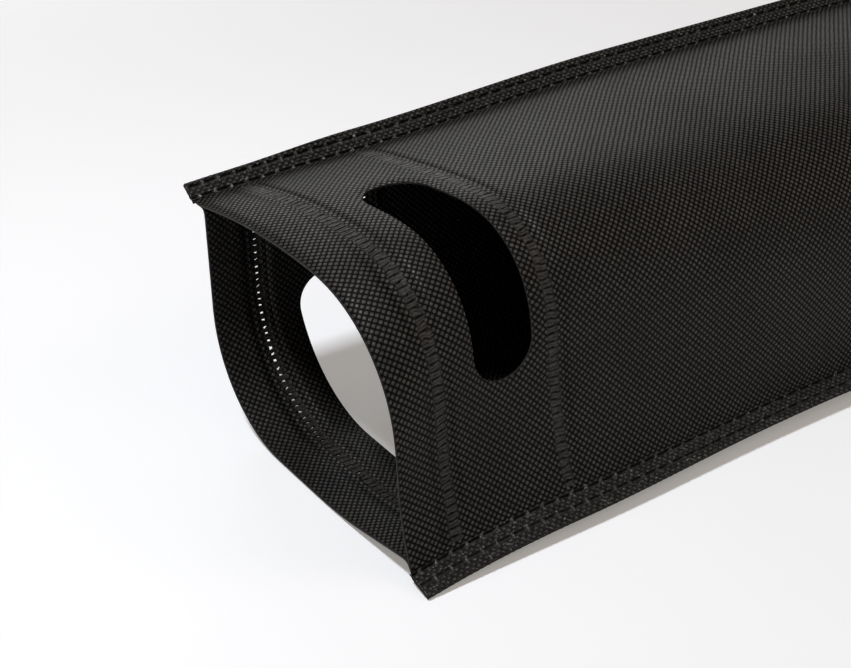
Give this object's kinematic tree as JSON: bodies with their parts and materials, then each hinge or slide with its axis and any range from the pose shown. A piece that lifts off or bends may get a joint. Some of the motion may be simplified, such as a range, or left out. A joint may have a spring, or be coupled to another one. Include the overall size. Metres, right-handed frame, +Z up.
{
  "type": "bottle carrier",
  "caption": "Black non-woven bag for carrying a bottle, lying on its side, with welded side margins, an open mouth, finger slots through its panels and a folded bottom gusset.",
  "frame": {"origin": "On the table under the middle of the bag as it lies", "axes": "+X runs from the mouth to the bottom, +Y across the bag to the far margin, +Z up from the table"},
  "size_m": [0.39, 0.123, 0.0796],
  "materials": {
    "panel_fabric": "embossed non-woven cloth with a slight sheen",
    "hem_fabric": "embossed non-woven cloth, folded in",
    "gusset_fabric": "embossed non-woven cloth",
    "fused_weld": "cloth fused smooth and slightly glossy by the welding wheel"
  },
  "bodies": {
    "root": {"front_panel": "panel_fabric", "back_panel": "panel_fabric", "front_hem": "hem_fabric", "back_hem": "hem_fabric", "bottom_gusset": "gusset_fabric", "front_mouth_weld": "fused_weld", "front_hem_weld": "fused_weld", "back_mouth_weld": "fused_weld", "back_hem_weld": "fused_weld", "near_inner_seal": "fused_weld", "near_outer_seal": "fused_weld", "far_inner_seal": "fused_weld", "far_outer_seal": "fused_weld"}
  },
  "joints": []
}
